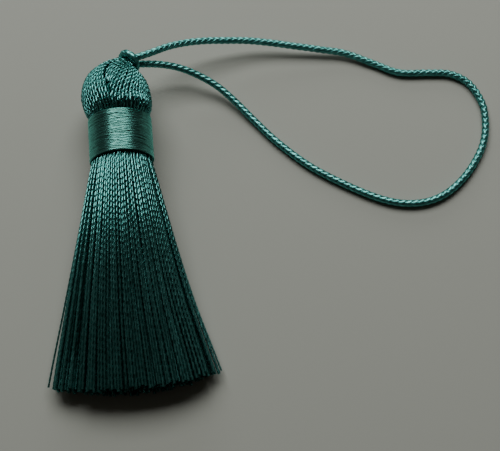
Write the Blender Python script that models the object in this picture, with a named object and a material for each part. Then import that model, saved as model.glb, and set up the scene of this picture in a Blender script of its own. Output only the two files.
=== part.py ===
"""Silky tassel lying on its side: folded yarn bundle, floss binding, cord hitch and hanging loop.

Row frame: +Y runs from the cut ends of the skirt to the head, +Z is up, the floor is z = 0.
"""
import math

import bmesh
import bpy
import numpy as np
from mathutils import Vector

MM = 0.001

# Head: a lofted bulb. Each row is one ring of yarn, from the neck, which the binding squeezes
# into an oval, up to the fold.
# centre x, y, z / half width / half height (mm), and the ring's turn and tilt to the hitch (degrees)
HEAD_RINGS = [
    ("neck top", 0.57, 21.00, 6.60, 5.75, 5.25, 0.0, 0.0),
    ("low bulge", 0.40, 23.20, 6.80, 6.90, 6.60, 0.0, 0.0),
    ("widest", 0.25, 26.00, 6.85, 7.25, 7.05, 2.0, 0.0),
    ("upper", 0.55, 29.20, 7.00, 6.25, 6.25, 9.0, -2.0),
    ("shoulder", 1.30, 31.30, 7.30, 4.30, 4.40, 21.0, -6.0),
    ("collar", 2.45, 32.60, 7.85, 1.90, 1.95, 34.0, -12.0),
    ("throat", 2.95, 33.08, 8.00, 0.95, 0.95, 41.0, -16.0),
]
HEAD_STEPS = 2
RIDGES = 40
RIDGE_RISE = 0.16 * MM

# Cleft: the middle group of yarn dips under the left lobe.
CLEFT_DEPTH = 1.30 * MM
CLEFT_FOOT = 23.0 * MM
CLEFT_HEAD = 32.2 * MM
CLEFT_FOOT_ANGLE = 97.0
CLEFT_LEFT_ANGLE = 114.0
CLEFT_RIGHT_ANGLE = 66.0

# Fold: the bundle is drawn in by the hitch, and a nub of it stands out past the cord.
THROAT_RADIUS = 0.95 * MM
WAIST_RADIUS = 0.80 * MM
NUB_RADIUS = 1.20 * MM
NUB_REACH = 0.95 * MM
NUB_CAP = 0.40 * MM

# Skirt: cut strands, which grow out of the neck's lower end and fan out flat on the floor.
STRANDS = 150
STRAND_LENGTH = 46.6 * MM
STRAND_ROOT_SIZE = 0.52 * MM
STRAND_END_SIZE = 0.70 * MM
END_RAGGED = 0.35 * MM
EDGE_SHORTER = 1.3 * MM
UNDERSIDE_SHORTER = 1.5 * MM
UNDERSIDE_DEPTH = 2.0 * MM
STRAY_REACH = 0.65 * MM
# y, then the outline's centre x and height, its half width, its rise above the centre, and its
# drop below it, which the floor cuts off flat (mm)
SKIRT_SECTIONS = [
    ("root", 11.6, 0.57, 6.60, 5.75, 5.25, 5.25),
    ("flare", 8.2, 0.50, 6.00, 6.95, 5.80, 5.60),
    ("upper", 0.5, 0.35, 4.60, 8.70, 5.90, 6.20),
    ("middle", -9.5, 0.15, 3.80, 10.90, 5.30, 8.00),
    ("lower", -19.0, 0.10, 3.30, 13.10, 4.80, 10.00),
    ("hem", -27.5, 0.20, 2.90, 15.10, 4.40, 12.00),
    ("end", -35.0, 0.30, 2.70, 16.70, 4.10, 12.00),
]
SETTLE_STEPS = 5
SETTLE_ROUNDS = 120
SPREAD = 1.47
PUSH_SHARE = 0.25
FIRST_TURN = 0.7
SEED = 11

# Binding: a close winding round the neck.
BINDING_LOW = 11.2 * MM
BINDING_TOP = 20.9 * MM
BINDING_TURNS = 18
BINDING_SIDES = 36
BINDING_WALL = 0.37 * MM
BINDING_RISE = 0.10 * MM
CLEARANCE = 0.30 * MM

SHARP_ANGLE = 55.0

# Cord: one length, hitched round the fold and led out in a loop.
CORD_DIAMETER = 1.5 * MM
HITCH_CENTRE = Vector((3.40, 33.60, 7.80)) * MM
HITCH_RADIUS = 1.87 * MM
HITCH_TURN = 41.0
HITCH_TILT = -16.0
HITCH_STEPS = 26
CORD_SIDES = 8
CORD_POINT_SPACING = 2.2 * CORD_DIAMETER
# The loop's route (x, y, z in mm), from the hitch down to the floor, out, round and back.
LOOP_ROUTE = [
    (5.6, 33.75, 9.0), (7.8, 34.65, 8.5), (11.6, 36.5, 7.4), (15.4, 37.8, 6.2), (19.4, 38.55, 5.1),
    (23.4, 38.8, 4.2), (28.5, 38.8, 3.3), (33.5, 38.2, 2.6), (38.7, 37.2, 2.05), (44.0, 36.15, 1.55),
    (49.35, 34.9, 1.1), (54.9, 32.1, 0.82), (60.2, 29.3, 0.78), (66.6, 28.6, 0.78), (71.0, 27.9, 0.78),
    (74.6, 25.3, 0.78), (76.6, 20.5, 0.78), (76.6, 16.1, 0.78), (75.55, 11.8, 0.78), (73.5, 8.0, 0.78),
    (70.15, 3.9, 0.78), (66.0, 0.65, 0.78), (61.7, -0.9, 0.78), (57.0, -0.9, 0.78), (52.05, 0.65, 0.78),
    (45.6, 4.3, 0.78), (38.6, 9.3, 0.78), (32.6, 15.3, 0.80), (28.0, 21.1, 0.95), (24.6, 25.4, 1.5),
    (21.2, 28.9, 2.3), (17.4, 31.35, 3.35), (13.6, 32.85, 4.5), (9.8, 33.3, 5.8), (5.9, 33.0, 7.2),
]


def clear_scene():
    for item in list(bpy.data.objects):
        bpy.data.objects.remove(item, do_unlink=True)


def make_material(name, colour, roughness):
    material = bpy.data.materials.new(name)
    material.use_nodes = True
    shader = material.node_tree.nodes["Principled BSDF"]
    shader.inputs["Base Color"].default_value = (*colour, 1.0)
    shader.inputs["Roughness"].default_value = roughness
    shader.inputs["Metallic"].default_value = 0.0
    return material


def add_object(name, bm, material):
    mesh = bpy.data.meshes.new(name)
    bmesh.ops.recalc_face_normals(bm, faces=bm.faces)
    bm.to_mesh(mesh)
    bm.free()
    mesh.shade_smooth()
    mesh.set_sharp_from_angle(angle=math.radians(SHARP_ANGLE))
    mesh.materials.append(material)
    item = bpy.data.objects.new(name, mesh)
    bpy.context.collection.objects.link(item)
    return item


def ring_axes(turn, tilt):
    """Axis of a ring that is turned from +Y towards +X and tilted up, with its right and its top."""
    turn, tilt = math.radians(turn), math.radians(tilt)
    axis = Vector((math.sin(turn) * math.cos(tilt), math.cos(turn) * math.cos(tilt), math.sin(tilt)))
    right = Vector((math.cos(turn), -math.sin(turn), 0))
    return axis, right, right.cross(axis)


def smooth_rows(rows, steps):
    """Catmull-Rom rows between the named rows of a table, whose first column is a name."""
    keys = np.array([row[1:] for row in rows], float)
    padded = np.vstack([2 * keys[0] - keys[1], keys, 2 * keys[-1] - keys[-2]])
    out = []
    for index in range(1, len(padded) - 2):
        a, b, c, d = padded[index - 1:index + 3]
        for step in range(steps):
            t = step / steps
            out.append(0.5 * (2 * b + (c - a) * t + (2 * a - 5 * b + 4 * c - d) * t ** 2
                              + (3 * b - a - 3 * c + d) * t ** 3))
    out.append(keys[-1])
    return out


def cleft_depth(angle, y):
    """How far the head dips at an angle round the ring (degrees) and a place along it."""
    share = (y - CLEFT_FOOT) / (CLEFT_HEAD - CLEFT_FOOT)
    if not 0 < share < 1:
        return 0.0
    left = CLEFT_FOOT_ANGLE + (CLEFT_LEFT_ANGLE - CLEFT_FOOT_ANGLE) * share
    right = CLEFT_FOOT_ANGLE + (CLEFT_RIGHT_ANGLE - CLEFT_FOOT_ANGLE) * share
    across = (angle - right) / (left - right)
    if not 0 < across < 1:
        return 0.0
    fade = min(1.0, 4 * share, 4 * (1 - share))
    return CLEFT_DEPTH * across * fade


def ring_points(row, ridge_rise):
    """Points of one ring of the head, every other one raised as a strand's ridge."""
    centre = Vector(row[:3]) * MM
    half_width, half_height = row[3] * MM, row[4] * MM
    axis, right, top = ring_axes(row[5], row[6])
    points = []
    for index in range(2 * RIDGES):
        turn = math.tau * index / (2 * RIDGES)
        rise = ridge_rise if index % 2 else -ridge_rise
        rise -= cleft_depth(math.degrees(turn), centre.y)
        across = (half_width + rise) * math.cos(turn)
        up = (half_height + rise) * math.sin(turn)
        point = centre + right * across + top * up
        point.z = max(0.0, point.z)
        points.append(point)
    return points


def circle_points(centre, right, top, radius, count):
    """Points round a small ring set square to the hitch's axis."""
    return [centre + (right * math.cos(turn) + top * math.sin(turn)) * radius
            for turn in (math.tau * index / count for index in range(count))]


def extrude_loop(bm, loop, points):
    """Extrudes an edge loop, given by its corners in order, to new places; returns the new corners."""
    edges = [bm.edges.get((loop[index], loop[index - 1])) for index in range(len(loop))]
    made = bmesh.ops.extrude_edge_only(bm, edges=edges)["geom"]
    new = [item for item in made if isinstance(item, bmesh.types.BMVert)]
    new_set = set(new)
    order = []
    for corner in loop:
        order.append(next(edge.other_vert(corner) for edge in corner.link_edges
                          if edge.other_vert(corner) in new_set))
    for corner, point in zip(order, points):
        corner.co = point
    return order


def start_loop(bm, points):
    corners = [bm.verts.new(point) for point in points]
    for index, corner in enumerate(corners):
        bm.edges.new((corners[index - 1], corner))
    return corners


def stretch(places, before, now, floor):
    """Carries the strands of one cross-section over to the next outline, in proportion."""
    away = places - before[:2]
    wider = now[2] / before[2]
    taller = now[3] / before[3]
    lower = min(now[4], now[1] - floor) / min(before[4], before[1] - floor)
    away[:, 0] *= wider
    away[:, 1] *= np.where(away[:, 1] > 0, taller, lower)
    return now[:2] + away


def settle(places, spacing, outline, floor):
    """Pushes the strands of one cross-section apart, inside its outline and above the floor."""
    centre = outline[:2]
    itself = np.eye(len(places))
    for _ in range(SETTLE_ROUNDS):
        apart = places[:, None] - places[None]
        distance = np.hypot(apart[..., 0], apart[..., 1]) + itself
        push = np.clip(spacing - distance, 0, None) * (1 - itself)
        places = places + (apart * (push / distance)[..., None]).sum(1) * PUSH_SHARE
        away = places - centre
        tall = np.where(away[:, 1] > 0, outline[3], outline[4])
        inside = away / (np.stack([np.full(len(places), outline[2]), tall], 1) - spacing / 2)
        outside = np.maximum(1.0, np.hypot(inside[:, 0], inside[:, 1]))
        places = centre + away / outside[:, None]
        places[:, 1] = np.maximum(places[:, 1], floor)
    return places


def skirt_places():
    """Where each strand passes each section of the skirt, in mm: x and height, section by section."""
    turns = FIRST_TURN + np.arange(STRANDS) * math.pi * (3 - math.sqrt(5))
    radii = np.sqrt((np.arange(STRANDS) + 0.5) / STRANDS)
    outlines = np.array([row[2:] for row in SKIRT_SECTIONS])
    sizes = strand_sizes() / MM
    before, size_before = outlines[0], sizes[0]
    disc = np.stack([radii * np.cos(turns), radii * np.sin(turns)], 1)
    places = before[:2] + disc * (before[2:4] - size_before)
    sections = []
    for outline, size in zip(outlines, sizes):
        for step in range(1, SETTLE_STEPS + 1):
            share = step / SETTLE_STEPS
            now = outlines_between(before, outline, share)
            size_now = size_before + (size - size_before) * share
            start = outlines_between(before, outline, share - 1 / SETTLE_STEPS)
            places = stretch(places, start, now, size_now / 2)
            places = settle(places, SPREAD * size_now, now, size_now / 2)
        sections.append(places.copy())
        before, size_before = outline, size
    spread_strays(sections)
    return sections


def spread_strays(sections):
    """Lets the outermost strand on each side drift a little away from the rest."""
    left, right = sections[-1][:, 0].argmin(), sections[-1][:, 0].argmax()
    for index, places in enumerate(sections):
        drift = STRAY_REACH / MM * (index / (len(sections) - 1)) ** 2
        places[left, 0] -= drift
        places[right, 0] += drift


def outlines_between(before, after, share):
    return before + (after - before) * share


def strand_sizes():
    """Side of a strand at each section, growing from the root to the cut end."""
    y = np.array([row[1] for row in SKIRT_SECTIONS])
    share = (y[0] - y) / (y[0] - y[-1])
    return STRAND_ROOT_SIZE + (STRAND_END_SIZE - STRAND_ROOT_SIZE) * share


def strand_end(places, index, lengths):
    """y of a strand's cut end: its length, less what the fan's slant takes up."""
    slant = np.hypot(*(places[-1][index] - places[0][index])) * MM
    return SKIRT_SECTIONS[0][1] * MM - math.sqrt(lengths[index] ** 2 - slant ** 2)


def strand_square(place, y, size):
    x, z = place * MM
    half = size / 2
    return [(x + a * half, y, max(0.0, z + b * half)) for a, b in ((-1, -1), (1, -1), (1, 1), (-1, 1))]


def make_yarn():
    """Head, neck and skirt in one piece: the strands grow out of the end of the neck."""
    bm = bmesh.new()
    rows = smooth_rows(HEAD_RINGS, HEAD_STEPS)
    neck_low = SKIRT_SECTIONS[0][1] * MM
    neck_ring = ring_points(rows[0], 0)
    neck_end = [Vector((point.x, neck_low, point.z)) for point in neck_ring]
    loop = extrude_loop(bm, start_loop(bm, neck_end), neck_ring)
    for row in rows[1:-1]:
        loop = extrude_loop(bm, loop, ring_points(row, RIDGE_RISE))
    axis, right, top = ring_axes(HITCH_TURN, HITCH_TILT)
    throat = Vector(rows[-1][:3]) * MM
    for centre, radius in (
        (throat, THROAT_RADIUS),
        (HITCH_CENTRE, WAIST_RADIUS),
        (HITCH_CENTRE + axis * NUB_REACH, NUB_RADIUS),
        (HITCH_CENTRE + axis * (NUB_REACH + NUB_CAP), WAIST_RADIUS),
    ):
        loop = extrude_loop(bm, loop, circle_points(centre, right, top, radius, len(loop)))
    bm.faces.new(loop)

    places = skirt_places()
    sizes = strand_sizes()
    rng = np.random.default_rng(SEED)
    edge = np.abs(places[-1][:, 0]) / SKIRT_SECTIONS[-1][4]
    under = 1 - np.clip(places[-1][:, 1] * MM / UNDERSIDE_DEPTH, 0, 1)
    lengths = (STRAND_LENGTH - EDGE_SHORTER * edge ** 2 - UNDERSIDE_SHORTER * under
               + rng.uniform(-END_RAGGED, END_RAGGED, STRANDS))
    roots = []
    for index in range(STRANDS):
        roots.append(start_loop(bm, strand_square(places[0][index], neck_low, sizes[0])))
    border = [edge for edge in bm.edges if edge.is_wire or edge.is_boundary]
    bmesh.ops.triangle_fill(bm, use_beauty=True, edges=border, normal=(0, -1, 0))
    for index, corners in enumerate(roots):
        loop = corners
        for section, (place, size) in enumerate(zip(places[1:], sizes[1:]), 1):
            last = section == len(places) - 1
            y = strand_end(places, index, lengths) if last else SKIRT_SECTIONS[section][1] * MM
            loop = extrude_loop(bm, loop, strand_square(place[index], y, size))
        bm.faces.new(loop)
    return add_object("yarn", bm, make_material("silky_yarn", (0.020, 0.130, 0.115), 0.35))


def make_binding():
    """A tube round the neck, its outside raised in one ridge for each turn of floss."""
    bm = bmesh.new()
    _, x, _, z, half_width, half_height, _, _ = HEAD_RINGS[0]

    def ring(y, out):
        points = []
        for index in range(BINDING_SIDES):
            turn = math.tau * index / BINDING_SIDES
            across = (half_width * MM + CLEARANCE + out) * math.cos(turn)
            up = (half_height * MM + CLEARANCE + out) * math.sin(turn)
            points.append((x * MM + across, y, z * MM + up))
        return points

    first = start_loop(bm, ring(BINDING_LOW, 0))
    loop = extrude_loop(bm, first, ring(BINDING_LOW, BINDING_WALL - BINDING_RISE))
    rows = 2 * BINDING_TURNS
    for index in range(1, rows):
        y = BINDING_LOW + (BINDING_TOP - BINDING_LOW) * index / rows
        rise = BINDING_RISE if index % 2 else -BINDING_RISE
        loop = extrude_loop(bm, loop, ring(y, BINDING_WALL + rise))
    loop = extrude_loop(bm, loop, ring(BINDING_TOP, BINDING_WALL - BINDING_RISE))
    last = extrude_loop(bm, loop, ring(BINDING_TOP, 0))
    for index in range(BINDING_SIDES):
        bm.faces.new((first[index - 1], first[index], last[index], last[index - 1]))
    return add_object("binding", bm, make_material("binding_floss", (0.040, 0.180, 0.165), 0.30))


def make_hitch():
    """The bight of the cord, a ring drawn round the fold."""
    bm = bmesh.new()
    axis, right, _ = ring_axes(HITCH_TURN, HITCH_TILT)
    section = HITCH_CENTRE + right * HITCH_RADIUS
    corners = circle_points(section, right, axis, CORD_DIAMETER / 2, CORD_SIDES)
    start_loop(bm, corners)
    bmesh.ops.spin(bm, geom=bm.verts[:] + bm.edges[:], cent=HITCH_CENTRE, axis=axis, dvec=(0, 0, 0),
                   angle=math.tau, steps=HITCH_STEPS, use_merge=True)
    return add_object("cord_hitch", bm, make_material("braided_cord", (0.025, 0.150, 0.130), 0.45))


def smooth_route(points, spacing):
    """Even steps along a smooth curve through the route's points."""
    padded = [2 * points[0] - points[1], *points, 2 * points[-1] - points[-2]]
    dense = []
    for a, b, c, d in zip(padded, padded[1:], padded[2:], padded[3:]):
        for t in np.arange(0, 1, 0.05):
            dense.append(0.5 * (2 * b + (c - a) * t + (2 * a - 5 * b + 4 * c - d) * t ** 2
                                + (3 * b - a - 3 * c + d) * t ** 3))
    dense = np.array(dense + [points[-1]])
    along = np.concatenate([[0], np.cumsum(np.linalg.norm(np.diff(dense, axis=0), axis=1))])
    steps = np.linspace(0, along[-1], round(along[-1] / spacing) + 1)
    return np.stack([np.interp(steps, along, dense[:, axis]) for axis in range(3)], 1)


def make_loop():
    """The cord from the hitch out along the floor and back, as a tube on its route."""
    curve = bpy.data.curves.new("hanging_loop", "CURVE")
    curve.dimensions = "3D"
    curve.bevel_depth = CORD_DIAMETER / 2
    curve.bevel_resolution = 2
    curve.use_fill_caps = True
    route = smooth_route(np.array(LOOP_ROUTE) * MM, CORD_POINT_SPACING)
    spline = curve.splines.new("POLY")
    spline.points.add(len(route) - 1)
    for point, place in zip(spline.points, route):
        point.co = (*place, 1.0)
    curve.materials.append(make_material("loop_cord", (0.025, 0.150, 0.130), 0.45))
    item = bpy.data.objects.new("hanging_loop", curve)
    bpy.context.collection.objects.link(item)
    return item


clear_scene()
make_yarn()
make_binding()
make_hitch()
make_loop()
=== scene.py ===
"""The looks of a silky tassel: twisted yarn, wound floss and a braided loop, round its frame."""
import math

import bmesh
import bpy
import numpy as np
from mathutils import Matrix, Vector


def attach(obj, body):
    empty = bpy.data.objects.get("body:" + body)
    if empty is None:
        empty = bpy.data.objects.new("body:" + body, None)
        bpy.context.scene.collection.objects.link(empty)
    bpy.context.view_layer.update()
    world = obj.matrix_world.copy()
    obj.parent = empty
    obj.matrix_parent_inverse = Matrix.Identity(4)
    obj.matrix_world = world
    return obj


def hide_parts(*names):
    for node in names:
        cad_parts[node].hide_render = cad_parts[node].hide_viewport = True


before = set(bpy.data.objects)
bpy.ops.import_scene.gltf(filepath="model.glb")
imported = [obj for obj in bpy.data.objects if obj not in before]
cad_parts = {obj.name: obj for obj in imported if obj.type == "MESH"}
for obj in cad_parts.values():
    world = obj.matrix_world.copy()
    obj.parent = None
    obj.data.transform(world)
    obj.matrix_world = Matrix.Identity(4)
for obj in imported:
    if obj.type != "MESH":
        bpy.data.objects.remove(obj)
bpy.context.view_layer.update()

# Camera, floor and light.
# The tassel lies on a plain pale floor and is seen steeply from above, from the side of its cut
# ends. One wide soft light, like a window, stands behind it, and a weak one is low down below that.
MM = 0.001
# Turns and rises are in degrees and the lens in mm. Other lengths in this section are in metres.
AIM = Vector((25.05, -2.33, 0.0)) * MM
VIEW_TURN = 5.6
VIEW_RISE = 68.5
VIEW_DISTANCE = 213.0 * MM
LENS = 75.6
LIGHT_DISTANCE = 0.60
LIGHT_COLOUR = (1.0, 0.985, 0.95)
ROOM_COLOUR = (1.0, 0.88, 0.74, 1)
ROOM_STRENGTH = 0.03
FLOOR_SIZE = 8.0
FLOOR_COLOUR = (0.375, 0.395, 0.362, 1)


def mesh_of(name, bm):
    """The mesh that a bmesh makes."""
    mesh = bpy.data.meshes.new(name)
    bm.to_mesh(mesh)
    bm.free()
    return mesh


def show(name, data):
    """Puts a mesh, a camera or a light in the scene, as an object of its own."""
    item = bpy.data.objects.new(name, data)
    bpy.context.collection.objects.link(item)
    return item


def away_from_aim(turn, rise, distance):
    """The point at a distance from AIM, seen from it at a turn from -Y towards -X and at a rise."""
    turn, rise = math.radians(turn), math.radians(rise)
    return AIM + Vector((-math.sin(turn) * math.cos(rise), -math.cos(turn) * math.cos(rise),
                         math.sin(rise))) * distance


def add_light(name, width, height, power, turn, rise):
    lamp = bpy.data.lights.new(name, "AREA")
    lamp.shape = "RECTANGLE"
    lamp.size, lamp.size_y, lamp.energy, lamp.color = width, height, power, LIGHT_COLOUR
    item = show(name, lamp)
    item.location = away_from_aim(turn, rise, LIGHT_DISTANCE)
    item.rotation_euler = (AIM - item.location).to_track_quat("-Z", "Y").to_euler()


camera = show("camera", bpy.data.cameras.new("camera"))
camera.data.lens = LENS
camera.data.clip_start = 1 * MM
camera.location = away_from_aim(VIEW_TURN, VIEW_RISE, VIEW_DISTANCE)
camera.rotation_euler = (math.radians(90 - VIEW_RISE), 0, math.radians(-VIEW_TURN))
bpy.context.scene.camera = camera

add_light("key", width=0.62, height=0.34, power=3.5, turn=177, rise=50)
add_light("low", width=0.50, height=0.16, power=0.8, turn=180, rise=16)
world = bpy.data.worlds.new("studio")
world.use_nodes = True
world.node_tree.nodes["Background"].inputs["Color"].default_value = ROOM_COLOUR
world.node_tree.nodes["Background"].inputs["Strength"].default_value = ROOM_STRENGTH
bpy.context.scene.world = world

bm = bmesh.new()
bmesh.ops.create_grid(bm, x_segments=1, y_segments=1, size=FLOOR_SIZE / 2)
floor = show("floor", mesh_of("floor", bm))
floor_finish = bpy.data.materials.new("floor")
floor_finish.use_nodes = True
floor_shader = floor_finish.node_tree.nodes["Principled BSDF"]
floor_shader.inputs["Base Color"].default_value = FLOOR_COLOUR
floor_shader.inputs["Roughness"].default_value = 0.9
floor_shader.inputs["Specular IOR Level"].default_value = 0.2
floor.data.materials.append(floor_finish)

# Hanging loop.
# One length of round cord, braided from eight strands of silky yarn. Both legs leave the hitch, and
# the loop lies on the floor beside the tassel.
# A strand goes once round the cord in each pitch, a radius from its middle. It changes from over to
# under and back twice in that turn, which moves it out and in by the weave.
BRAID_STRANDS = 8
STRANDS_EACH_WAY = BRAID_STRANDS // 2
BRAID_PITCH = 5.2 * MM
BRAID_RADIUS = 0.50 * MM
OVERS_IN_TURN = 2
BRAID_WEAVE = 0.11 * MM
STRAND_HALF_WIDTH = 0.40 * MM
STRAND_HALF_THICKNESS = 0.165 * MM
STRAND_SIDES = 8
RINGS_IN_PITCH = 16
# The braid rolls about the route, from the first of these turns at its start to the second.
BRAID_ROLL = (math.radians(44), math.radians(1))
# Points between two places of a route, and along all of it where its length is first measured.
CURVE_STEPS = 24
ROUGH_STEPS = 400
SHARP_TUBE_EDGE = math.radians(80)
# Steps through the noise for each mm along a tube, and from one tube to the next.
STREAKS_ALONG = 0.5
NEXT_TUBE = (37.0, 53.0, 71.0)
STREAK_CONTRAST = 1.2
DEEPER_DYE = 0.6
ROUGHNESS_CHANGE = 0.2
# The loop's route (x, y, z in mm), from the hitch down to the floor, out, round and back.
LOOP_ROUTE = [
    (4.9, 33.50, 9.0), (5.6, 33.75, 9.0), (7.8, 34.65, 8.5), (11.6, 36.5, 7.4), (15.4, 37.8, 6.2),
    (19.4, 38.55, 5.1), (23.4, 38.8, 4.2), (28.5, 38.8, 3.3), (33.5, 38.2, 2.6), (38.7, 37.2, 2.05),
    (44.0, 36.15, 1.55), (49.35, 34.9, 1.1), (54.9, 32.1, 0.82), (60.2, 29.3, 0.78), (66.6, 28.6, 0.78),
    (71.0, 27.9, 0.78), (74.6, 25.3, 0.78), (76.6, 20.5, 0.78), (76.6, 16.1, 0.78), (75.55, 11.8, 0.78),
    (73.5, 8.0, 0.78), (70.15, 3.9, 0.78), (66.0, 0.65, 0.78), (61.7, -0.9, 0.78), (57.0, -0.9, 0.78),
    (52.05, 0.65, 0.78), (45.6, 4.3, 0.78), (38.6, 9.3, 0.78), (32.6, 15.3, 0.80), (28.0, 21.1, 0.95),
    (24.6, 25.4, 1.5), (21.2, 28.9, 2.3), (17.4, 31.35, 3.35), (13.6, 32.85, 4.5), (9.8, 33.3, 5.8),
    (5.9, 33.0, 7.2), (5.0, 32.9, 7.3),
]


def smooth_line(points, steps):
    """Even steps along a Catmull-Rom curve through points."""
    points = np.array(points, float)
    padded = np.vstack([2 * points[0] - points[1], points, 2 * points[-1] - points[-2]])
    a, b, c, d = (padded[k:len(padded) - 3 + k, None] for k in range(4))
    t = np.linspace(0, 1, CURVE_STEPS, endpoint=False)[None, :, None]
    dense = 0.5 * (2 * b + (c - a) * t + (2 * a - 5 * b + 4 * c - d) * t ** 2
                   + (3 * b - a - 3 * c + d) * t ** 3)
    dense = np.vstack([dense.reshape(-1, points.shape[1]), points[-1:]])
    along = np.concatenate([[0], np.cumsum(np.linalg.norm(np.diff(dense, axis=0), axis=1))])
    even = np.linspace(0, along[-1], steps)
    return np.stack([np.interp(even, along, column) for column in dense.T], 1)


def length_of(line):
    return float(np.linalg.norm(np.diff(line, axis=0), axis=1).sum())


def unit(vectors):
    return vectors / np.linalg.norm(vectors, axis=-1, keepdims=True)


def ring_axes(lines, up):
    """Right and top of each ring along several centre lines (line, ring, xyz), without any twist."""
    along = unit(np.gradient(lines, axis=1))
    top = np.broadcast_to(np.array(up, float), along[:, 0].shape)
    tops = []
    for ring in range(lines.shape[1]):
        top = unit(top - along[:, ring] * (top * along[:, ring]).sum(-1, keepdims=True))
        tops.append(top)
    tops = np.stack(tops, 1)
    return np.cross(tops, along), tops


def tube_shape(sides, rings):
    """A bmesh of a capped tube of unit radius along +Z, with one ring at each whole number."""
    bm = bmesh.new()
    bmesh.ops.create_circle(bm, segments=sides, radius=1.0)
    bmesh.ops.spin(bm, geom=bm.verts[:] + bm.edges[:], cent=(0, 0, 0), axis=(0, 0, 1), dvec=(0, 0, 1),
                   angle=0, steps=rings - 1)
    bmesh.ops.holes_fill(bm, edges=[edge for edge in bm.edges if edge.is_boundary], sides=sides)
    return bm


def lay_tubes(name, centres, right, top, half_width, half_height, sides, sort, fibre_twist=None):
    """Bends one straight tube along each centre line. The attribute grain holds the place round the
    tube and the mm along it, and sort is one number for each tube. fibre_twist, one share for each
    ring, lets the sheen follow the strand (0) or the twist of its plies (1), as in a balanced yarn."""
    count, rings = centres.shape[:2]
    bm = tube_shape(sides, rings)
    bmesh.ops.recalc_face_normals(bm, faces=bm.faces)
    tube = mesh_of(name + "_tube", bm)
    start = np.empty(len(tube.vertices) * 3)
    tube.vertices.foreach_get("co", start)
    start = start.reshape(-1, 3)
    ring = np.rint(start[:, 2]).astype(int)
    across = (half_width[:, ring] * start[:, 0])[..., None]
    up = (half_height[:, ring] * start[:, 1])[..., None]
    places = centres[:, ring] + right[:, ring] * across + top[:, ring] * up
    bm = bmesh.new()
    for _ in range(count):
        bm.from_mesh(tube)
    mesh = mesh_of(name, bm)
    bpy.data.meshes.remove(tube)
    mesh.vertices.foreach_set("co", places.ravel())
    along = np.cumsum(np.linalg.norm(np.diff(centres, axis=1, prepend=centres[:, :1]), axis=2), 1) / MM
    grain = np.concatenate([np.broadcast_to(start[:, :2], (count, len(start), 2)),
                            along[:, ring, None]], 2)
    mesh.attributes.new("grain", "FLOAT_VECTOR", "POINT").data.foreach_set("vector", grain.ravel())
    mesh.attributes.new("sort", "FLOAT", "POINT").data.foreach_set("value", np.repeat(sort, len(start)))
    mesh.update()
    mesh.shade_smooth()
    mesh.set_sharp_from_angle(angle=SHARP_TUBE_EDGE)
    if fibre_twist is not None:
        axis = np.cross(top, right)
        fibre = unit(axis + (unit(np.gradient(centres, axis=1)) - axis) * fibre_twist[:, None])[:, ring]
        facing = right[:, ring] * start[:, :1] + top[:, ring] * start[:, 1:2]
        facing = unit(facing - fibre * (facing * fibre).sum(-1, keepdims=True))
        corner = np.empty(len(mesh.loops), int)
        mesh.loops.foreach_get("vertex_index", corner)
        normals = facing.reshape(-1, 3)[corner]
        # The end caps are the faces with more than four corners. They keep their own normals.
        for face in mesh.polygons:
            if face.loop_total > 4:
                normals[face.loop_start:face.loop_start + face.loop_total] = 0
        mesh.normals_split_custom_set(normals)
    return show(name, mesh)


def braid(name, route, closed_turns=None):
    """Eight strands round a route, four each way, each passing over two of the others and under two."""
    rings = len(route)
    right, top = (axis[0] for axis in ring_axes(route[None], (0, 0, 1)))
    share = np.linspace(0, 1, rings)
    turns = closed_turns or length_of(route) / BRAID_PITCH
    roll = BRAID_ROLL[0] + (BRAID_ROLL[1] - BRAID_ROLL[0]) * share
    centres, outward, sideways = [], [], []
    for strand in range(BRAID_STRANDS):
        way = 1 if strand % 2 else -1
        angle = math.tau * (way * turns * share + strand // 2 / STRANDS_EACH_WAY)
        over = way * np.cos(OVERS_IN_TURN * angle - math.pi / 4)
        angle = angle + roll
        out = right * np.cos(angle)[:, None] + top * np.sin(angle)[:, None]
        centres.append(route + out * (BRAID_RADIUS + BRAID_WEAVE * over)[:, None])
        outward.append(out)
        sideways.append(top * np.cos(angle)[:, None] - right * np.sin(angle)[:, None])
    shape = (BRAID_STRANDS, rings)
    return lay_tubes(name, np.array(centres), np.array(outward), np.array(sideways),
                     np.full(shape, STRAND_HALF_THICKNESS), np.full(shape, STRAND_HALF_WIDTH),
                     STRAND_SIDES, np.arange(BRAID_STRANDS) / BRAID_STRANDS)


class Wire:
    """A socket in a finish; arithmetic on it adds Math nodes."""

    def __init__(self, tree, socket=None):
        self.tree, self.socket = tree, socket

    def node(self, kind, settings, inputs, output=0):
        """Adds a node: its settings first, then the values or wires of its sockets."""
        made = self.tree.nodes.new(kind)
        for key, value in settings.items():
            setattr(made, key, value)
        for key, value in inputs.items():
            if isinstance(value, Wire):
                self.tree.links.new(value.socket, made.inputs[key])
            else:
                made.inputs[key].default_value = value
        return Wire(self.tree, made.outputs[output])

    def math(self, operation, first, second):
        return self.node("ShaderNodeMath", {"operation": operation}, {0: first, 1: second})

    def __add__(self, other):
        return self.math("ADD", self, other)

    def __sub__(self, other):
        return self.math("SUBTRACT", self, other)

    def __rsub__(self, other):
        return self.math("SUBTRACT", other, self)

    def __mul__(self, other):
        return self.math("MULTIPLY", self, other)

    __radd__, __rmul__ = __add__, __mul__


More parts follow.
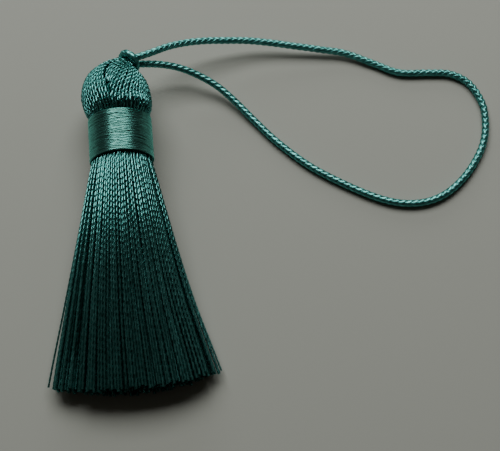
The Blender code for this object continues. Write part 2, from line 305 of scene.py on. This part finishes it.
def silk(name, deep, bright, streaks, roughness, metallic, sheen):
    """Dyed silky filament: fine streaks run along each tube, the finer the higher streaks is, and
    each tube takes the dye a little differently."""
    material = bpy.data.materials.new(name)
    material.use_nodes = True
    tree = material.node_tree
    shader = tree.nodes["Principled BSDF"]
    start = Wire(tree)
    grain = start.node("ShaderNodeAttribute", {"attribute_name": "grain"}, {}, "Vector")
    sort = start.node("ShaderNodeAttribute", {"attribute_name": "sort"}, {}, "Fac")
    offset = start.node("ShaderNodeCombineXYZ", {},
                        {"X": sort * NEXT_TUBE[0], "Y": sort * NEXT_TUBE[1], "Z": sort * NEXT_TUBE[2]})
    stretched = start.node("ShaderNodeVectorMath", {"operation": "MULTIPLY"},
                           {0: grain, 1: (streaks, streaks, STREAKS_ALONG)})
    place = start.node("ShaderNodeVectorMath", {"operation": "ADD"}, {0: stretched, 1: offset})
    filament = start.node("ShaderNodeTexNoise", {}, {"Vector": place, "Scale": 1.0, "Detail": 2.0}, "Fac")
    dye = start.node("ShaderNodeTexNoise", {}, {"Vector": offset, "Scale": 1.0, "Detail": 0.0}, "Fac")
    share = filament * STREAK_CONTRAST + dye - DEEPER_DYE
    colour = start.node("ShaderNodeMix", {"data_type": "RGBA", "clamp_factor": True},
                        {0: share, 6: (*deep, 1), 7: (*bright, 1)}, 2)
    tree.links.new(colour.socket, shader.inputs["Base Color"])
    rough = roughness + (filament - 0.5) * ROUGHNESS_CHANGE
    tree.links.new(rough.socket, shader.inputs["Roughness"])
    bump = start.node("ShaderNodeBump", {}, {"Strength": 0.35, "Distance": 0.03 * MM, "Height": filament})
    tree.links.new(bump.socket, shader.inputs["Normal"])
    shader.inputs["Metallic"].default_value = metallic
    shader.inputs["Sheen Weight"].default_value = sheen
    shader.inputs["Sheen Roughness"].default_value = 0.4
    shader.inputs["Sheen Tint"].default_value = (0.35, 0.9, 0.75, 1)
    shader.inputs["Specular Tint"].default_value = (0.45, 1.0, 0.95, 1)
    return material


cord_silk = silk("cord_silk", deep=(0.048, 0.190, 0.180), bright=(0.165, 0.565, 0.535), streaks=3.0,
                 roughness=0.36, metallic=0.92, sheen=0.0)
loop_points = np.array(LOOP_ROUTE) * MM
pitches = length_of(smooth_line(loop_points, ROUGH_STEPS)) / BRAID_PITCH
route = smooth_line(loop_points, round(pitches * RINGS_IN_PITCH))
loop = braid("hanging_loop_braid", route)
loop.data.materials.append(cord_silk)
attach(loop, "root")
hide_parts("hanging_loop")

# Hitch.
# The bight of the same braided cord, drawn tight round the fold of the yarn. It rings the yarn's
# narrow waist at the top of the head, and leans to the right with it.
HITCH_CENTRE = np.array((3.40, 33.60, 7.80)) * MM
HITCH_RADIUS = 1.87 * MM
HITCH_TURN = math.radians(41.0)
HITCH_TILT = math.radians(-16.0)
HITCH_START = math.radians(-70)
HITCH_BRAID_TURNS = 2.25
HITCH_RINGS = 73
HITCH_AXIS = np.array((math.sin(HITCH_TURN) * math.cos(HITCH_TILT),
                       math.cos(HITCH_TURN) * math.cos(HITCH_TILT), math.sin(HITCH_TILT)))
HITCH_RIGHT = np.array((math.cos(HITCH_TURN), -math.sin(HITCH_TURN), 0.0))
HITCH_TOP = np.cross(HITCH_RIGHT, HITCH_AXIS)
turn = np.linspace(0, math.tau, HITCH_RINGS)[:, None] + HITCH_START
hitch_route = HITCH_CENTRE + (HITCH_RIGHT * np.cos(turn) + HITCH_TOP * np.sin(turn)) * HITCH_RADIUS
hitch = braid("hitch_braid", hitch_route, HITCH_BRAID_TURNS)
hitch.data.materials.append(cord_silk)
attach(hitch, "root")
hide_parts("cord_hitch")

# Skirt.
# Two-ply silky yarn, cut straight at the ends. It comes out from under the binding and fans out,
# with its lowest strands lying on the floor.
SEED = 11
SKIRT_STRANDS = 290
# Place along the tassel (y), the centre's x and z, half the width, and the height above and below the
# centre, all in mm. The last number is how far the top leans, up at the left and down at the right.
SKIRT_SECTIONS = [
    ("root", 11.6, 0.57, 6.60, 6.10, 5.40, 5.40, 0.0),
    ("flare", 8.2, 0.50, 6.20, 7.00, 6.05, 5.80, 0.0),
    ("upper", 0.5, 0.35, 5.00, 8.70, 6.45, 6.60, 0.25),
    ("middle", -9.5, 0.15, 3.85, 10.90, 6.20, 8.00, 0.70),
    ("lower", -19.0, 0.10, 2.90, 13.10, 5.70, 10.00, 0.55),
    ("hem", -27.5, 0.30, 2.20, 15.35, 5.00, 12.00, 0.30),
    ("end", -35.0, 0.50, 1.70, 17.15, 4.30, 12.00, 0.0),
]
STEPS_IN_SECTION = 5
# The root's strands lie on a spiral that starts at this angle, in radians.
SPIRAL_START = 0.7
# The yarn's diameters and its lay, one full turn of its plies, are in mm. The plies' sizes are shares
# of its diameter, first where it is well twisted and then where it is calm, lower down.
YARN_ROOT_DIAMETER = 0.60
YARN_END_DIAMETER = 0.70
YARN_LAY = 2.3
YARN_SIDES = 6
HIDDEN_YARN_SIDES = 5
PLY_HALF_WIDTH = (0.29, 0.39)
PLY_OFFSET = (0.21, 0.11)
NEXT_PLY = 0.013
FIBRE_TWIST = 0.33
CALM_GAIN = 1.5
CALM_START = 0.35
# The twists of neighbours start alike, in waves round the root, but for a random part in radians.
PHASE_SECTION = 3
PHASE_WAVES = 3
PHASE_SPREAD = 1.1
# How the strands settle. Their spacing is in diameters: at the root, and what it gains by the end.
SETTLE_ROUNDS = 70
ROOT_SPACING = 1.03
SPACING_GAIN = 0.04
PUSH = 0.25
PULL_HOME = 0.3
DRAW_UP = 1.004
LEAST_ARCH = 0.06
TINY = 1e-6
SMOOTH_ROUNDS = 6
# A strand with a high root falls by at least so many mm in each step, past the first twelve.
HIGH_ROOT = 7.5
FALL_FROM = 12
LEAST_FALL = 0.12
# Lengths from the root, in mm, and how much shorter the strands at the edges and the lowest ones are.
SKIRT_LENGTH = 46.8
HIDDEN_ROOT = 1.6
EDGE_SHORTER = 1.3
LOWEST_SHORTER = 1.5
LOW_HEIGHT = 2.0
UNEVEN_CUT = 0.4
# One thin strand at each edge strays outwards, by this gap (mm) at its end.
STRAY_GAP = 0.60
STRAY_THICKNESS = 0.62
# The strands near the skin have more rings and are in three pieces, from left to right. The rings
# crowd towards the root.
OUTER_SHARE = 0.80
PIECES_MEET_AT = (-5.5, 6.5)
OUTER_RINGS = 116
INNER_RINGS = 36
RINGS_CROWD = 1.3


def settle(places, home, spacing, outline, floor):
    """Pushes the strands of one cross-section apart, inside its outline and above the floor. Each one
    keeps near home, its place across the skirt. The upper ones draw up to the outline."""
    centre, (across, up, down) = outline[:2], outline[2:]
    half_width = across - spacing / 2
    itself = np.eye(len(places))
    for _ in range(SETTLE_ROUNDS):
        apart = places[:, None] - places[None]
        distance = np.hypot(apart[..., 0], apart[..., 1]) + itself + TINY
        push = np.clip(spacing - distance, 0, None) * (1 - itself)
        places = places + (apart * (push / distance)[..., None]).sum(1) * PUSH
        places[:, 0] += (home - places[:, 0]) * PULL_HOME
        away = places - centre
        away[:, 0] = np.clip(away[:, 0], -half_width, half_width)
        arch = np.sqrt(np.clip(1 - (away[:, 0] / half_width) ** 2, LEAST_ARCH, 1))
        highest = (up - spacing / 2) * arch
        away[:, 1] *= np.where(away[:, 1] > highest / 2, DRAW_UP, 1.0)
        away[:, 1] = np.clip(away[:, 1], (spacing / 2 - down) * arch, highest)
        places = centre + away
        places[:, 1] = np.maximum(places[:, 1], floor)
    return places


def stretch(places, before, now, floor):
    """Carries the strands of one cross-section over to the next outline, in proportion."""
    away = places - before[:2]
    lower = min(now[4], now[1] - floor) / min(before[4], before[1] - floor)
    away[:, 0] *= now[2] / before[2]
    away[:, 1] *= np.where(away[:, 1] > 0, now[3] / before[3], lower)
    return now[:2] + away


def skirt_lines():
    """Centre lines of all strands (strand, place, xyz) in mm, and how near each runs to the skin."""
    index = np.arange(SKIRT_STRANDS)
    turns = SPIRAL_START + index * math.pi * (3 - math.sqrt(5))
    radii = np.sqrt((index + 0.5) / SKIRT_STRANDS)
    disc = np.stack([radii * np.cos(turns), radii * np.sin(turns)], 1)
    keys = np.array([row[1:] for row in SKIRT_SECTIONS])
    rows = [keys[0]]
    for before, after in zip(keys, keys[1:]):
        rows += [before + (after - before) * step / STEPS_IN_SECTION
                 for step in range(1, STEPS_IN_SECTION + 1)]
    root, end, before = rows[0][0], rows[-1][0], rows[0][1:6]
    places = before[:2] + disc * (before[2:4] - YARN_ROOT_DIAMETER / 2)
    sections, skin = [], []
    for row in rows:
        y, outline, lean = row[0], row[1:6], row[6]
        across, up, down = outline[2:]
        share = (root - y) / (root - end)
        size = YARN_ROOT_DIAMETER + (YARN_END_DIAMETER - YARN_ROOT_DIAMETER) * share
        spacing = (ROOT_SPACING + SPACING_GAIN * share) * size
        home = outline[0] + disc[:, 0] * (across - size / 2)
        places = settle(stretch(places, before, outline, size / 2), home, spacing, outline, size / 2)
        away = places - outline[:2]
        raised = np.clip(places[:, 1] - size / 2, 0, None) / (outline[1] + up)
        height = places[:, 1] + lean * raised * -away[:, 0] / across
        sections.append(np.stack([places[:, 0], np.full(SKIRT_STRANDS, y), height], 1))
        skin.append(np.hypot(away[:, 0] / across, away[:, 1] / np.where(away[:, 1] > 0, up, down)))
        before = outline
    return np.stack(sections, 1), np.stack(skin, 1).max(1)


def even_lines(lines, ends, shares):
    """Smooths the lines, keeps the high ones falling, runs them on into the binding, and cuts each at
    its own length."""
    smooth = lines.copy()
    for _ in range(SMOOTH_ROUNDS):
        smooth[:, 1:-1] = smooth[:, 1:-1] / 2 + (smooth[:, :-2] + smooth[:, 2:]) / 4
        smooth[:, -1] = 2 * smooth[:, -2] - smooth[:, -3]
    steep = smooth[:, FALL_FROM:, 2]
    fall = LEAST_FALL * np.arange(steep.shape[1])
    falling = np.minimum.accumulate(steep + fall, 1) - fall
    smooth[:, FALL_FROM:, 2] = np.where(smooth[:, :1, 2] > HIGH_ROOT, falling, steep)
    start = smooth[:, :1] + np.array((0, HIDDEN_ROOT, 0))
    smooth = np.concatenate([start, smooth], 1)
    out = np.empty((len(lines), len(shares), 3))
    for number, (line, end) in enumerate(zip(smooth, ends)):
        along = np.concatenate([[0], np.cumsum(np.linalg.norm(np.diff(line, axis=0), axis=1))])
        even = shares * (HIDDEN_ROOT + end)
        last = (line[-1] - line[-2]) / (along[-1] - along[-2])
        for axis in range(3):
            out[number, :, axis] = np.interp(even, along, line[:, axis])
        out[number] += np.clip(even - along[-1], 0, None)[:, None] * last
    return out


def two_ply(name, lines, diameters, sides, phases, sort, twist, calm=np.zeros(1)):
    """Twists two plies round each centre line. Lines and diameters are in mm. Where calm is 1 the plies
    have sunk into each other and the strand is nearly round."""
    right, top = ring_axes(lines, (0, 0, 1))
    step = np.linalg.norm(np.diff(lines, axis=1, prepend=lines[:, :1]), axis=2)
    turn = math.tau * np.cumsum(step, 1) / YARN_LAY + phases[:, None]
    offset = diameters * (PLY_OFFSET[0] + (PLY_OFFSET[1] - PLY_OFFSET[0]) * calm)
    radius = diameters * (PLY_HALF_WIDTH[0] + (PLY_HALF_WIDTH[1] - PLY_HALF_WIDTH[0]) * calm)
    centres = []
    for ply in range(2):
        angle = (turn + math.pi * ply)[..., None]
        centres.append(lines + (right * np.cos(angle) + top * np.sin(angle)) * offset[..., None])
    radius = np.concatenate([radius, radius]) * MM
    return lay_tubes(name, np.concatenate(centres) * MM, np.concatenate([right, right]),
                     np.concatenate([top, top]), radius, radius, sides,
                     np.concatenate([sort, sort + NEXT_PLY]), fibre_twist=twist * (1 - calm))


yarn_silk = silk("yarn_silk", deep=(0.040, 0.145, 0.140), bright=(0.170, 0.540, 0.515), streaks=2.0,
                 roughness=0.25, metallic=0.99, sheen=0.0)
lines, skin = skirt_lines()
rng = np.random.default_rng(SEED)
edge = np.abs(lines[:, -1, 0]) / SKIRT_SECTIONS[-1][4]
under = 1 - np.clip(lines[:, -1, 2] / LOW_HEIGHT, 0, 1)
reach = (SKIRT_LENGTH - EDGE_SHORTER * edge ** 2 - LOWEST_SHORTER * under
         + rng.uniform(-UNEVEN_CUT, UNEVEN_CUT, SKIRT_STRANDS))
thickness = np.ones(SKIRT_STRANDS)
for stray, way in ((lines[:, -1, 0].argmin(), -1), (lines[:, -1, 0].argmax(), 1)):
    lines[stray, :, 0] += way * STRAY_GAP * np.linspace(0, 1, lines.shape[1]) ** 2
    thickness[stray] = STRAY_THICKNESS
near_root = lines[:, PHASE_SECTION]
phases = (PHASE_WAVES * np.arctan2(near_root[:, 2] - SKIRT_SECTIONS[0][3], near_root[:, 0])
          + rng.uniform(-PHASE_SPREAD, PHASE_SPREAD, SKIRT_STRANDS))
sort = rng.uniform(0, 1, SKIRT_STRANDS)
outer = skin > OUTER_SHARE
third = np.digitize(lines[:, -1, 0], PIECES_MEET_AT)
for name, chosen, rings, sides in (
    ("skirt_left", outer & (third == 0), OUTER_RINGS, YARN_SIDES),
    ("skirt_middle", outer & (third == 1), OUTER_RINGS, YARN_SIDES),
    ("skirt_right", outer & (third == 2), OUTER_RINGS, YARN_SIDES),
    ("skirt_inside", ~outer, INNER_RINGS, HIDDEN_YARN_SIDES),
):
    share = np.linspace(0, 1, rings) ** RINGS_CROWD
    size = YARN_ROOT_DIAMETER + (YARN_END_DIAMETER - YARN_ROOT_DIAMETER) * share
    piece = two_ply(name, even_lines(lines[chosen], reach[chosen], share),
                    thickness[chosen][:, None] * size, sides, phases[chosen], sort[chosen],
                    FIBRE_TWIST, np.clip(share * CALM_GAIN - CALM_START, 0, 1))
    piece.data.materials.append(yarn_silk)
    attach(piece, "root")
    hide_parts("yarn")

# Binding.
# Untwisted floss wound tightly back and forth round the neck, so that its turns cross at a small
# angle, over a first close layer. A few level turns finish each edge.
BINDING_CENTRE = (0.57, 6.60)
BINDING_HALF_WIDTH = 6.05
BINDING_HALF_HEIGHT = 5.55
BINDING_LOW = 11.2
BINDING_TOP = 20.5
# The first layer is a plain sleeve, so much outside those half sizes and short of each edge (mm).
UNDERWRAP = 0.24
UNDERWRAP_SHORT = 0.15
UNDERWRAP_SIDES = 72
SHARP_RIM = math.radians(60)
# Floss sizes are in mm. Its place and its lift drift a little, from one knot to the next. The swing
# is just under 1, so that a pass turns back gently. The level turns at the edges are so many of the
# floss's half widths apart.
FLOSS_HALF_WIDTH = 0.17
FLOSS_HALF_THICKNESS = 0.075
FLOSS_SIDES = 6
FLOSS_LIFT = 0.31
TURN_STEPS = 56
PASSES = 34
PASS_TURNS = 2.85
PASS_SWING = 0.985
PASS_DRIFT = 0.10
PASS_KNOTS = 12
LIFT_DRIFT = 0.08
LIFT_KNOTS = 26
EDGE_TURNS = 3
EDGE_PITCH = 1.5
EDGE_LIFT_DRIFT = 0.03
EDGE_LIFT_KNOTS = 9


def wander(rows, steps, knots):
    """Slow random drift between -1 and 1, one row for each tube."""
    values = rng.uniform(-1, 1, (rows, knots))
    even = np.linspace(0, knots - 1, steps)
    return np.stack([np.interp(even, np.arange(knots), row) for row in values])


def wind(name, angle, y, lift, closed=False):
    """Winds floss round the neck, one tube for each row of angle (radians), y and lift (mm)."""
    across, up = BINDING_HALF_WIDTH + lift, BINDING_HALF_HEIGHT + lift
    place = np.stack([BINDING_CENTRE[0] + across * np.cos(angle), y,
                      BINDING_CENTRE[1] + up * np.sin(angle)], -1)
    out = unit(np.stack([up * np.cos(angle), np.zeros_like(angle), across * np.sin(angle)], -1))
    if closed:
        place[:, -1] = place[:, 0]
    return lay_tubes(name, place * MM, out, np.broadcast_to((0.0, 1.0, 0.0), place.shape),
                     np.full(angle.shape, FLOSS_HALF_THICKNESS * MM),
                     np.full(angle.shape, FLOSS_HALF_WIDTH * MM), FLOSS_SIDES,
                     rng.uniform(0, 1, len(angle)))


binding_silk = silk("binding_silk", deep=(0.045, 0.118, 0.094), bright=(0.110, 0.350, 0.318),
                    streaks=2.0, roughness=0.25, metallic=0.92, sheen=0.55)
bm = tube_shape(UNDERWRAP_SIDES, 2)
bmesh.ops.scale(bm, vec=((BINDING_HALF_WIDTH + UNDERWRAP) * MM, (BINDING_HALF_HEIGHT + UNDERWRAP) * MM,
                         (BINDING_TOP - BINDING_LOW - 2 * UNDERWRAP_SHORT) * MM), verts=bm.verts)
bmesh.ops.rotate(bm, cent=(0, 0, 0), matrix=Matrix.Rotation(math.radians(-90), 3, "X"), verts=bm.verts)
bmesh.ops.translate(bm, vec=Vector((BINDING_CENTRE[0], BINDING_LOW + UNDERWRAP_SHORT,
                                    BINDING_CENTRE[1])) * MM, verts=bm.verts)
bmesh.ops.recalc_face_normals(bm, faces=bm.faces)
underwrap = show("binding_underwrap", mesh_of("binding_underwrap", bm))
underwrap.data.shade_smooth()
underwrap.data.set_sharp_from_angle(angle=SHARP_RIM)

# Each pass goes from one edge to the other and turns back there, where the next one goes on.
rng = np.random.default_rng(SEED)
steps = round(PASS_TURNS * TURN_STEPS)
share = np.linspace(0, 1, steps)[None]
number = np.arange(PASSES)[:, None]
swing = np.sin(math.pi * (share - 0.5)) * np.where(number % 2, -1, 1)
half_way = (BINDING_TOP - BINDING_LOW) / 2 - FLOSS_HALF_WIDTH
middle = (BINDING_TOP + BINDING_LOW) / 2
y = (middle + half_way * np.arcsin(PASS_SWING * swing) / math.asin(PASS_SWING)
     + PASS_DRIFT * wander(PASSES, steps, PASS_KNOTS))
y = np.clip(y, BINDING_LOW + FLOSS_HALF_WIDTH, BINDING_TOP - FLOSS_HALF_WIDTH)
passes = wind("binding_floss", math.tau * PASS_TURNS * (share + number), y,
              FLOSS_LIFT + LIFT_DRIFT * wander(PASSES, steps, LIFT_KNOTS))

# The level turns at one edge and then the other, each from the rim inwards.
level = np.arange(2 * EDGE_TURNS)
rim = np.where(level < EDGE_TURNS, BINDING_LOW, BINDING_TOP)
inward = np.where(level < EDGE_TURNS, 1, -1)
y = rim + inward * FLOSS_HALF_WIDTH * (1 + EDGE_PITCH * (level % EDGE_TURNS))
angle = np.linspace(0, math.tau, TURN_STEPS + 1)[None] + rng.uniform(0, math.tau, len(level))[:, None]
lift = FLOSS_LIFT + EDGE_LIFT_DRIFT * wander(len(level), TURN_STEPS + 1, EDGE_LIFT_KNOTS)
edges = wind("binding_edges", angle, np.broadcast_to(y[:, None], angle.shape), lift, closed=True)
for piece in (underwrap, passes, edges):
    piece.data.materials.append(binding_silk)
    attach(piece, "root")
    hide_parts("binding")

# Head.
# The same yarn doubled over at the hitch. It bulges above the binding in lobes, and a middle group
# dips under the left one. Nearer the hitch the strands crowd, and more and more of them sink.
HEAD_STRANDS = 60
HEAD_STEPS = 84
HEAD_FIBRE_TWIST = 0.40
# The centre's x, y and z and half the width and height, in mm, and the turn and tilt, in degrees.
HEAD_RINGS = [
    ("under the binding", 0.57, 19.40, 6.60, 5.75, 5.25, 0.0, 0.0),
    ("neck top", 0.57, 20.60, 6.60, 5.75, 5.25, 0.0, 0.0),
    ("low bulge", 0.40, 22.90, 6.80, 6.90, 6.60, 0.0, 0.0),
    ("widest", 0.20, 25.80, 6.85, 7.25, 7.05, 2.0, 0.0),
    ("upper", 0.35, 28.90, 7.00, 6.50, 6.00, 6.0, -2.0),
    ("shoulder", 1.05, 31.00, 7.40, 4.65, 4.30, 13.0, -6.0),
    ("collar", 2.35, 32.35, 8.00, 2.20, 2.50, 27.0, -12.0),
    ("throat", 2.95, 33.00, 8.00, 1.20, 1.20, 41.0, -16.0),
    ("waist", 3.40, 33.60, 7.80, 1.12, 1.12, 41.0, -16.0),
    ("nub", 4.00, 34.29, 7.54, 1.20, 1.20, 41.0, -16.0),
    ("nub top", 4.25, 34.58, 7.43, 0.80, 0.80, 41.0, -16.0),
    ("nub tip", 4.33, 34.67, 7.39, 0.12, 0.12, 41.0, -16.0),
]
LEAST_HALF_SIZE = 0.02
# The strands' angles drift by degrees and their depths by mm, from one knot to the next.
ANGLE_DRIFT = 1.2
ANGLE_KNOTS = 6
DEPTH_DRIFT = 0.05
DEPTH_KNOTS = 8
# Diameters, room and depths are in mm. Strands with less than the crowded room thin, and the ones
# that give way sink.
YARN_HEAD_DIAMETER = 0.74
LEAST_DIAMETER = 0.34
STRANDS_ROUND_TIP = 15
OVERLAP = 1.04
CROWDED_ROOM = 0.55
CROWD_THINS = 0.3
CROWD_SINKS = 2.2
SINK_DEPTH = 1.1
UNDER_YARN_DEPTH = 0.62
# The cleft runs from its foot to its head (y in mm). Its two sides part from the foot's angle, and
# push aside the strands that are fewer degrees away than the last of these numbers.
CLEFT_DEPTH = 2.10
CLEFT_FOOT = 23.0
CLEFT_HEAD = 32.2
CLEFT_OPENS = 6
CLEFT_CLOSES = 1.6
CLEFT_FOOT_ANGLE = 97.0
CLEFT_LEFT_ANGLE = 114.0
CLEFT_RIGHT_ANGLE = 66.0
CLEFT_PUSHES = 120
# The middle group of strands, in the cleft: sizes in mm, and then shares of the cleft's opening.
MIDDLE_STRANDS = 7
MIDDLE_DIAMETER = 0.66
MIDDLE_SUNK = 0.36
MIDDLE_PITCH = 0.66
MIDDLE_FOOT_PITCH = 3.0
LEAST_OPENING = 0.02
MOST_ACROSS = 1.5
MOST_DIPPED = 1.2
# The right lobe bulges most just above the binding: angle and spread in degrees, the rest in mm.
LOBE_ANGLE = 410.0
LOBE_SPREAD = 50.0
LOBE_PLACE = 21.5
LOBE_LENGTH = 1.4
LOBE_HEIGHT = 1.50
# The yarn inside is one solid, under the strands that show. It has a corner at each of these degrees
# on every third ring, lies so deep (mm) and dips further under the cleft, to so many of the cleft's
# half widths, which count as some degrees more.
CORE_STEP = 10.0
CORE_EVERY = 3
CORE_DEPTH = 1.15
CORE_DIP = 2.6
CORE_DIP_REACH = 1.6
CORE_DIP_SLACK = 10


def on_head(rows, angle, sunk):
    """Places (strand, ring, xyz) at an angle round the rings (degrees), sunk below the skin (mm)."""
    turned, tilted = np.radians(rows[:, 5]), np.radians(rows[:, 6])
    axis = np.stack([np.sin(turned) * np.cos(tilted), np.cos(turned) * np.cos(tilted), np.sin(tilted)], 1)
    right = np.stack([np.cos(turned), -np.sin(turned), 0 * turned], 1)
    top = np.cross(right, axis)
    angle = np.radians(angle)[..., None]
    half_width = np.maximum(rows[:, 3] - sunk, LEAST_HALF_SIZE)[..., None]
    half_height = np.maximum(rows[:, 4] - sunk, LEAST_HALF_SIZE)[..., None]
    return rows[:, :3] + right * half_width * np.cos(angle) + top * half_height * np.sin(angle)


def cleft_side(angle, share):
    """The angle of a side of the cleft, from its foot, where share is 0, to its head."""
    return CLEFT_FOOT_ANGLE + (angle - CLEFT_FOOT_ANGLE) * share


def cleft_dip(share):
    """How much of its depth the cleft has there: none at its foot and head, and all between them."""
    return np.clip(np.minimum(CLEFT_OPENS * share, CLEFT_CLOSES * (1 - share)), 0, 1)


rows = smooth_line([row[1:] for row in HEAD_RINGS], HEAD_STEPS)
cleft = np.clip((rows[:, 1] - CLEFT_FOOT) / (CLEFT_HEAD - CLEFT_FOOT), 0, 1)
left_side = cleft_side(CLEFT_LEFT_ANGLE, cleft)
right_side = cleft_side(CLEFT_RIGHT_ANGLE, cleft)
strand = np.arange(HEAD_STRANDS)
first = CLEFT_FOOT_ANGLE + (strand + 0.5) * 360 / HEAD_STRANDS
left = first < CLEFT_FOOT_ANGLE + 180
away = np.where(left, first - CLEFT_FOOT_ANGLE, CLEFT_FOOT_ANGLE + 360 - first)[:, None]
shift = np.where(left[:, None], left_side - CLEFT_FOOT_ANGLE, right_side - CLEFT_FOOT_ANGLE)
angle = first[:, None] + shift * np.clip(1 - away / CLEFT_PUSHES, 0, 1)
angle = angle + ANGLE_DRIFT * wander(HEAD_STRANDS, HEAD_STEPS, ANGLE_KNOTS)

# Where the girth shrinks, every other strand gives way first (rank 2), and then every other one of
# the rest (rank 1), which leaves those beside them twice and then four times the room.
girth = math.tau * np.sqrt(rows[:, 3] * rows[:, 4])
rank = np.where(strand % 2, 2, np.where(strand % 4, 1, 0))
room = girth / HEAD_STRANDS * np.array([4, 2, 1])[rank][:, None]
crowd = np.clip(1 - room / CROWDED_ROOM, 0, 1)
size = np.clip(room * OVERLAP, LEAST_DIAMETER, YARN_HEAD_DIAMETER) * (1 - CROWD_THINS * crowd)
size = np.minimum(size, np.maximum(LEAST_DIAMETER, girth / STRANDS_ROUND_TIP))
crowd = crowd * (rank > 0)[:, None]
sunk = (size / 2 + SINK_DEPTH * np.clip(crowd * CROWD_SINKS, 0, 1)
        + DEPTH_DRIFT * wander(HEAD_STRANDS, HEAD_STEPS, DEPTH_KNOTS))
lobe = np.clip(1 - np.abs(angle - LOBE_ANGLE) / LOBE_SPREAD, 0, 1)
lobe = lobe * np.exp(-((rows[:, 1] - LOBE_PLACE) / LOBE_LENGTH) ** 2)
sunk = sunk - LOBE_HEIGHT * np.sin(lobe * math.pi / 2)
phases = rng.uniform(0, math.tau, HEAD_STRANDS)
head_pieces = []
for name, moved, deeper, sides in (
    ("head_yarn", 0.0, 0.0, YARN_SIDES),
    ("head_under_yarn", 0.5, UNDER_YARN_DEPTH, HIDDEN_YARN_SIDES),
):
    lines = on_head(rows, angle + moved * 360 / HEAD_STRANDS, sunk + deeper)
    lines[..., 2] = np.maximum(lines[..., 2], size / 2)
    head_pieces.append(two_ply(name, lines, size, sides, phases, rng.uniform(0, 1, HEAD_STRANDS),
                               HEAD_FIBRE_TWIST))

bm = bmesh.new()
turns = np.arange(0, 360, CORE_STEP)
core_rows = list(zip(rows, cleft_dip(cleft), left_side, right_side))[::CORE_EVERY]
core_loops = []
for row, dip, left_turn, right_turn in core_rows:
    away = np.abs(turns - (left_turn + right_turn) / 2) / ((left_turn - right_turn) / 2 + CORE_DIP_SLACK)
    deeper = CORE_DIP * dip * np.clip(CORE_DIP_REACH - away, 0, 1)
    ring = on_head(row[None], turns[:, None], CORE_DEPTH + deeper[:, None])[:, 0] * MM
    made = bmesh.ops.create_circle(bm, segments=len(ring), radius=1.0)["verts"]
    for corner, place in zip(made, ring):
        corner.co = place
    core_loops.append(made)
for before, after in zip(core_loops, core_loops[1:]):
    around = [bm.edges.get((loop[k], loop[k - 1])) for loop in (before, after) for k in range(len(loop))]
    bmesh.ops.bridge_loops(bm, edges=around)
bmesh.ops.holes_fill(bm, edges=[edge for edge in bm.edges if edge.is_boundary], sides=len(turns))
bmesh.ops.recalc_face_normals(bm, faces=bm.faces)
core = show("head_inside", mesh_of("head_inside", bm))
core.data.shade_smooth()

inner = rows[(rows[:, 1] > CLEFT_FOOT) & (rows[:, 1] < CLEFT_HEAD)]
wide = np.clip((inner[:, 1] - CLEFT_FOOT) / (CLEFT_HEAD - CLEFT_FOOT), LEAST_OPENING, 1)
span = (CLEFT_LEFT_ANGLE - CLEFT_RIGHT_ANGLE) * wide
opening = np.radians(span) * np.sqrt(inner[:, 3] * inner[:, 4])
pitch = np.minimum(MIDDLE_PITCH, opening[-1] / MIDDLE_STRANDS + (1 - wide) * MIDDLE_FOOT_PITCH)
across = (np.arange(MIDDLE_STRANDS)[:, None] + 0.5) * pitch / opening
depth = CLEFT_DEPTH * np.clip(across, 0, MOST_DIPPED) ** 2 * cleft_dip(wide)
lines = on_head(inner, cleft_side(CLEFT_RIGHT_ANGLE, wide) + np.minimum(across, MOST_ACROSS) * span,
                depth + MIDDLE_SUNK)
size = np.full(lines.shape[:2], MIDDLE_DIAMETER)
middle_group = two_ply("head_middle_yarn", lines, size, YARN_SIDES, phases[:MIDDLE_STRANDS],
                       rng.uniform(0, 1, MIDDLE_STRANDS), HEAD_FIBRE_TWIST)
for piece in (*head_pieces, middle_group, core):
    piece.data.materials.append(yarn_silk)
    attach(piece, "root")
    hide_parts("yarn")
